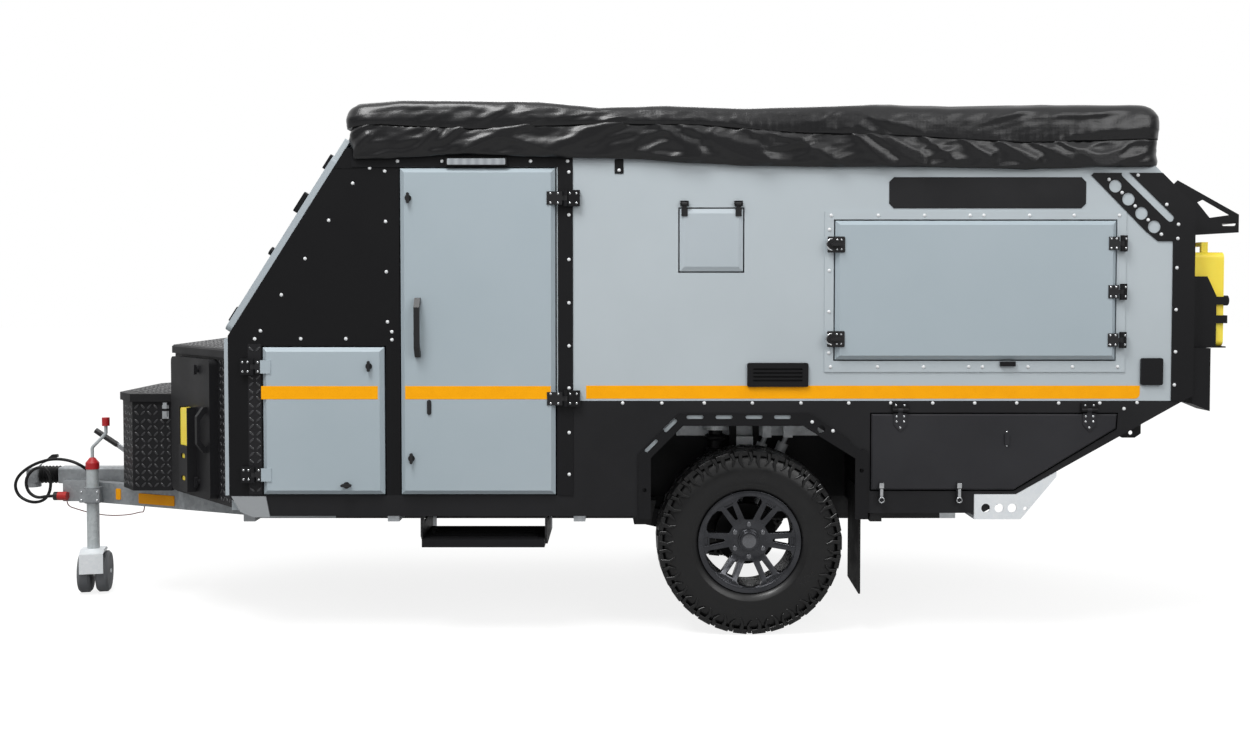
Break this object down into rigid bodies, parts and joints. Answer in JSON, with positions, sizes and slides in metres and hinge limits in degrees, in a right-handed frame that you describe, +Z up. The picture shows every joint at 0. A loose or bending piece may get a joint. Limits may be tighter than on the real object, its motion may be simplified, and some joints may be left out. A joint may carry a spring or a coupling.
{
  "type": "off-road touring caravan",
  "caption": "Single-axle off-road touring caravan with hollow panelled body, opening doors and hatches, nose and tongue boxes, jockey stand and packed roof cover",
  "frame": {"origin": "bottom centre of the object's bounding box, on the ground between the axle and the nose", "axes": "nose towards -X, door side towards -Y, +Z up"},
  "size_m": [5.7571, 2.079, 2.2896],
  "materials": {
    "grey_panel": "satin grey coated panel",
    "black_panel": "textured black coated panel",
    "black_steel": "black powder coat",
    "galvanised": "hot-dip galvanised",
    "tyre": "mud-terrain tread rubber",
    "alloy": "graphite cast alloy",
    "rubber": "black rubber",
    "cover_fabric": "glossy coated tent cover",
    "yellow_plastic": "moulded yellow plastic",
    "red_lens": "red lamp lens"
  },
  "bodies": {
    "trailer": {"arch_flares": "black_steel", "body_fittings": "black_steel", "breakaway_wire": "rubber", "can_holders": "black_steel", "chassis_rails": "galvanised", "corner_plates": "black_steel", "coupling_gaiter": "rubber", "coupling_head": "galvanised", "cross_members": "galvanised", "door_hinges": "black_steel", "drawbar_rails": "galvanised", "floor_panel": "black_panel", "front_wall": "grey_panel", "handbrake_lever": "black_steel", "jerry_cans": "yellow_plastic", "jockey_clamp": "galvanised", "lamp_guards": "black_steel", "lead_plug": "rubber", "mud_flaps": "rubber", "nose_box": "black_panel", "overrun_housing": "galvanised", "rear_rack": "black_steel", "rear_wall": "grey_panel", "roof_cover": "cover_fabric", "roof_panel": "grey_panel", "side_front_panel_left": "black_panel", "side_front_panel_right": "black_panel", "side_main_panel_left": "grey_panel", "side_main_panel_right": "grey_panel", "side_skirt_left": "black_panel", "side_skirt_right": "black_panel", "spare_carrier": "black_steel", "spare_rim": "alloy", "spare_tyre": "tyre", "spring_bridges": "galvanised", "springs_and_shocks": "galvanised", "tail_lamps": "red_lens", "tail_panel": "black_panel", "tongue_box": "black_panel", "trailer_lead": "rubber", "trailing_arms": "black_steel", "wheel_boxes": "black_steel"},
    "wheel_left": {"tyre_left": "tyre", "rim_left": "alloy"},
    "wheel_right": {"tyre_right": "tyre", "rim_right": "alloy"},
    "jockey_stand": {"jockey_tube": "galvanised"},
    "jockey_castor": {"jockey_fork": "galvanised"},
    "jockey_rollers": {"jockey_wheels": "rubber"},
    "door": {"entry_door": "grey_panel"},
    "front_locker_left": {"front_locker_door_left": "grey_panel"},
    "front_locker_right": {"front_locker_door_right": "grey_panel"},
    "hatch_left": {"side_hatch_left": "grey_panel"},
    "hatch_right": {"side_hatch_right": "grey_panel"},
    "rear_lid_left": {"rear_locker_lid_left": "black_panel"},
    "rear_lid_right": {"rear_locker_lid_right": "black_panel"},
    "flap": {"vent_flap": "grey_panel"},
    "nose_lid": {"nose_box_lid": "black_panel"},
    "tongue_lid": {"tongue_box_lid": "black_panel"},
    "pull_step": {"step": "black_steel"}
  },
  "joints": [
    {"name": "wheel_left_spin", "type": "hinge", "parent": "trailer", "child": "wheel_left", "pos_m": [0.673, -0.832, 0.4], "axis": [0, 1, 0], "continuous": true},
    {"name": "wheel_right_spin", "type": "hinge", "parent": "trailer", "child": "wheel_right", "pos_m": [0.673, 0.832, 0.4], "axis": [0, 1, 0], "continuous": true},
    {"name": "jockey_slide", "type": "slide", "parent": "trailer", "child": "jockey_stand", "axis": [0, 0, 1], "range_m": [0, 0.2]},
    {"name": "jockey_swivel", "type": "hinge", "parent": "jockey_stand", "child": "jockey_castor", "pos_m": [-2.462, -0.17, 0.2], "axis": [0, 0, 1], "continuous": true},
    {"name": "jockey_spin", "type": "hinge", "parent": "jockey_castor", "child": "jockey_rollers", "pos_m": [-2.47032, -0.13087, 0.1], "axis": [0.9781, 0.2079, 0], "continuous": true},
    {"name": "entry_door_hinge", "type": "hinge", "parent": "trailer", "child": "door", "pos_m": [-0.115, -1.004, 1.3], "axis": [0, 0, 1], "range_deg": [0, 105]},
    {"name": "front_locker_left_hinge", "type": "hinge", "parent": "trailer", "child": "front_locker_left", "pos_m": [-1.447, -1.004, 0.93], "axis": [0, 0, -1], "range_deg": [0, 110]},
    {"name": "front_locker_right_hinge", "type": "hinge", "parent": "trailer", "child": "front_locker_right", "pos_m": [-1.447, 1.004, 0.93], "axis": [0, 0, 1], "range_deg": [0, 110]},
    {"name": "hatch_left_hinge", "type": "hinge", "parent": "trailer", "child": "hatch_left", "pos_m": [2.24, -1.004, 1.478], "axis": [0, 0, 1], "range_deg": [0, 110]},
    {"name": "hatch_right_hinge", "type": "hinge", "parent": "trailer", "child": "hatch_right", "pos_m": [2.24, 1.004, 1.478], "axis": [0, 0, -1], "range_deg": [0, 110]},
    {"name": "rear_lid_left_hinge", "type": "hinge", "parent": "trailer", "child": "rear_lid_left", "pos_m": [1.71, -0.99, 0.975], "axis": [-1, 0, 0], "range_deg": [0, 95]},
    {"name": "rear_lid_right_hinge", "type": "hinge", "parent": "trailer", "child": "rear_lid_right", "pos_m": [1.71, 0.99, 0.975], "axis": [1, 0, 0], "range_deg": [0, 95]},
    {"name": "vent_flap_hinge", "type": "hinge", "parent": "trailer", "child": "flap", "pos_m": [0.5, -0.99, 1.85], "axis": [-1, 0, 0], "range_deg": [0, 90]},
    {"name": "nose_lid_hinge", "type": "hinge", "parent": "trailer", "child": "nose_lid", "pos_m": [-1.563, 0, 1.237], "axis": [0, 1, 0], "range_deg": [0, 80]},
    {"name": "tongue_lid_hinge", "type": "hinge", "parent": "trailer", "child": "tongue_lid", "pos_m": [-2.287, 0, 0.953], "axis": [0, -1, 0], "range_deg": [0, 95]},
    {"name": "step_slide", "type": "slide", "parent": "trailer", "child": "pull_step", "axis": [0, -1, 0], "range_m": [0, 0.24]}
  ]
}
